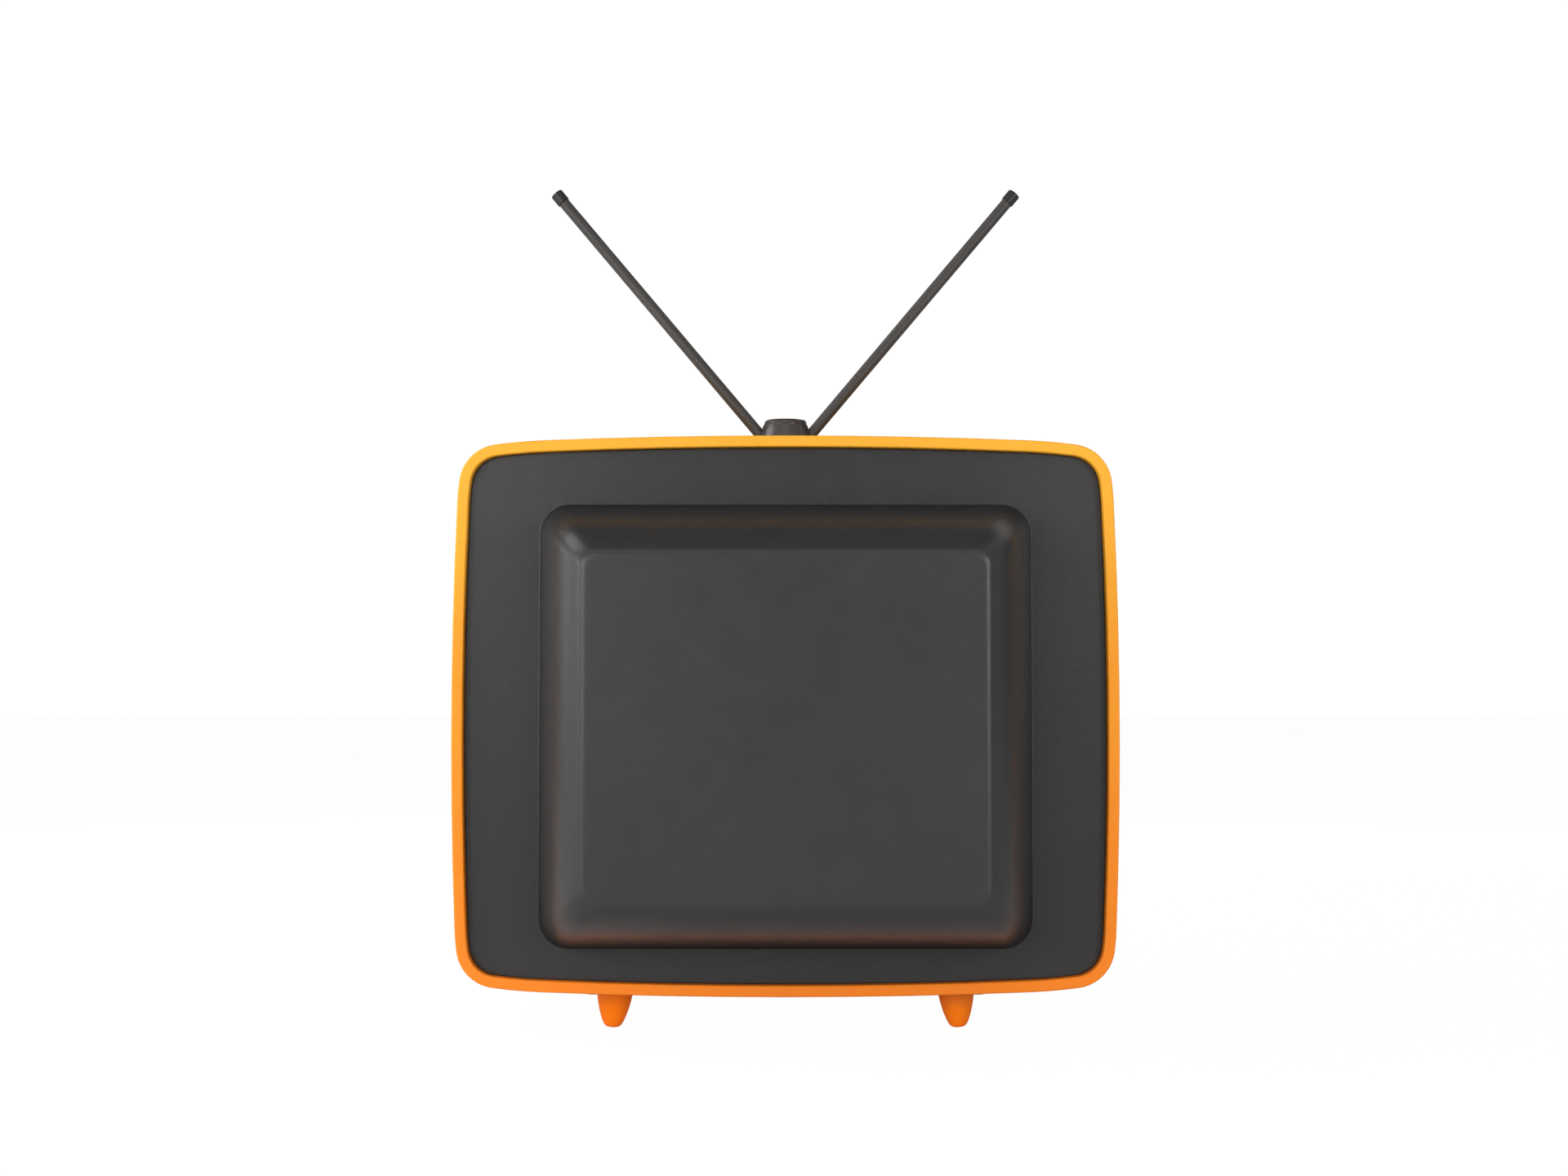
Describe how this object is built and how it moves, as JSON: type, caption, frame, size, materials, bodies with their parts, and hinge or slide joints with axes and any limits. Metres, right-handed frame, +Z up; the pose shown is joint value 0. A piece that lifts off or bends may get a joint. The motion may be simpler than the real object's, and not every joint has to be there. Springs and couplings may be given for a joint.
{
  "type": "portable television",
  "caption": "Small boxy tube television with a crowned moulded cabinet, a raised rear cover, a telescopic V aerial and conical feet.",
  "frame": {"origin": "on the floor plane, under the middle of the whole object's box", "axes": "+Z up, the screen faces -Y, +X is to the right of someone facing the screen"},
  "size_m": [0.3798, 0.279, 0.5033],
  "materials": {
    "orange_plastic": "orange moulded plastic with a soft gloss",
    "grained_plastic": "dark grey moulded plastic with a leather grain",
    "brushed_plate": "brushed aluminium, clear lacquered",
    "grille_metal": "black painted slotted metal",
    "surround_plastic": "black polished plastic",
    "screen_glass": "thick grey tinted glass, polished front",
    "phosphor": "pale grey green phosphor coating on the glass",
    "funnel_glass": "glass funnel with a black graphite coat",
    "gun_metal": "bright nickel steel",
    "plated_steel": "zinc plated steel",
    "copper_wire": "enamelled copper windings",
    "ferrite": "dark ferrite",
    "black_plastic": "black moulded plastic",
    "board": "brown phenolic circuit board",
    "lead_rubber": "rubber insulation",
    "transformer_iron": "varnished laminations",
    "heat_sink_aluminium": "black anodised aluminium",
    "capacitor_can": "sleeved aluminium can",
    "component_body": "lacquered component bodies",
    "spindle_steel": "turned steel",
    "knob_plastic": "black polished plastic",
    "knob_ring": "satin metal ring",
    "button_plastic": "orange polished plastic",
    "cone_paper": "dark pressed paper",
    "socket_metal": "nickel plated brass",
    "aerial_plastic": "black smooth plastic",
    "rod_metal": "dark nickel plated tube",
    "rod_tip_metal": "dark turned tip on a plated rod"
  },
  "bodies": {
    "cabinet": {"cabinet_shell": "orange_plastic", "foot_front_left": "orange_plastic", "foot_front_right": "orange_plastic", "foot_rear_left": "orange_plastic", "foot_rear_right": "orange_plastic", "rear_cover": "grained_plastic", "front_bezel": "grained_plastic", "control_plate": "brushed_plate", "speaker_grille": "grille_metal", "screen_surround": "surround_plastic", "tube_faceplate": "screen_glass", "phosphor_screen": "phosphor", "tube_funnel": "funnel_glass", "electron_gun": "gun_metal", "tension_band": "plated_steel", "deflection_coils": "copper_wire", "deflection_core": "ferrite", "coil_clamp": "black_plastic", "centring_magnets": "ferrite", "tube_socket": "black_plastic", "neck_board": "board", "anode_cap": "lead_rubber", "chassis_tray": "plated_steel", "main_board": "board", "mains_transformer": "transformer_iron", "line_transformer": "ferrite", "heat_sink": "heat_sink_aluminium", "filter_capacitors": "capacitor_can", "small_components": "component_body", "tuner_box": "plated_steel", "volume_control": "plated_steel", "picture_controls": "plated_steel", "power_switch": "black_plastic", "button_spring": "spindle_steel", "speaker_basket": "plated_steel", "speaker_magnet": "ferrite", "speaker_cone": "cone_paper", "earphone_socket": "socket_metal", "mains_inlet": "black_plastic", "aerial_stud": "spindle_steel", "large_screws": "plated_steel", "small_screws": "plated_steel", "hex_nuts": "plated_steel", "wiring": "lead_rubber"},
    "aerial_head": {"aerial_base": "aerial_plastic", "aerial_pivot_pins": "spindle_steel"},
    "left_rod": {"rod_left_outer": "rod_metal"},
    "left_rod_middle": {"rod_left_middle": "rod_metal"},
    "left_rod_tip": {"rod_left_tip": "rod_tip_metal"},
    "right_rod": {"rod_right_outer": "rod_metal"},
    "right_rod_middle": {"rod_right_middle": "rod_metal"},
    "right_rod_tip": {"rod_right_tip": "rod_tip_metal"},
    "channel_selector": {"channel_knob": "knob_plastic", "tuner_shaft": "spindle_steel", "tuner_drum": "black_plastic"},
    "fine_tuning": {"fine_tuning_ring": "knob_ring"},
    "volume": {"volume_knob": "knob_plastic"},
    "brightness": {"brightness_knob": "knob_plastic"},
    "contrast": {"contrast_knob": "knob_plastic"},
    "power": {"power_button": "button_plastic"}
  },
  "joints": [
    {"name": "aerial_turn", "type": "hinge", "parent": "cabinet", "child": "aerial_head", "pos_m": [0, -0.0295, 0.34042], "axis": [0, 0, 1], "range_deg": [-90, 90]},
    {"name": "left_rod_tilt", "type": "hinge", "parent": "aerial_head", "child": "left_rod", "pos_m": [-0.0109, -0.0295, 0.34592], "axis": [0, 1, 0], "range_deg": [-45, 40]},
    {"name": "right_rod_tilt", "type": "hinge", "parent": "aerial_head", "child": "right_rod", "pos_m": [0.0109, -0.0295, 0.34592], "axis": [0, 1, 0], "range_deg": [-40, 45]},
    {"name": "left_middle_slide", "type": "slide", "parent": "left_rod", "child": "left_rod_middle", "axis": [-0.6441, 0, 0.7649], "range_m": [0, 0.165]},
    {"name": "left_tip_slide", "type": "slide", "parent": "left_rod_middle", "child": "left_rod_tip", "axis": [-0.6441, 0, 0.7649], "range_m": [0, 0.165]},
    {"name": "right_middle_slide", "type": "slide", "parent": "right_rod", "child": "right_rod_middle", "axis": [0.6441, 0, 0.7649], "range_m": [0, 0.165]},
    {"name": "right_tip_slide", "type": "slide", "parent": "right_rod_middle", "child": "right_rod_tip", "axis": [0.6441, 0, 0.7649], "range_m": [0, 0.165]},
    {"name": "channel_turn", "type": "hinge", "parent": "cabinet", "child": "channel_selector", "pos_m": [0.131, -0.1395, 0.284], "axis": [0, 1, 0], "continuous": true},
    {"name": "fine_tuning_turn", "type": "hinge", "parent": "cabinet", "child": "fine_tuning", "pos_m": [0.131, -0.1282, 0.284], "axis": [0, 1, 0], "range_deg": [-150, 150]},
    {"name": "volume_turn", "type": "hinge", "parent": "cabinet", "child": "volume", "pos_m": [0.131, -0.138, 0.226], "axis": [0, 1, 0], "range_deg": [-135, 135]},
    {"name": "brightness_turn", "type": "hinge", "parent": "cabinet", "child": "brightness", "pos_m": [0.114, -0.1345, 0.191], "axis": [0, 1, 0], "range_deg": [-135, 135]},
    {"name": "contrast_turn", "type": "hinge", "parent": "cabinet", "child": "contrast", "pos_m": [0.148, -0.1345, 0.191], "axis": [0, 1, 0], "range_deg": [-135, 135]},
    {"name": "power_press", "type": "slide", "parent": "cabinet", "child": "power", "axis": [0, 1, 0], "range_m": [0, 0.003], "stiffness_N_per_m": 600, "springref_m": -0.0015, "deforming": ["button_spring"]}
  ]
}
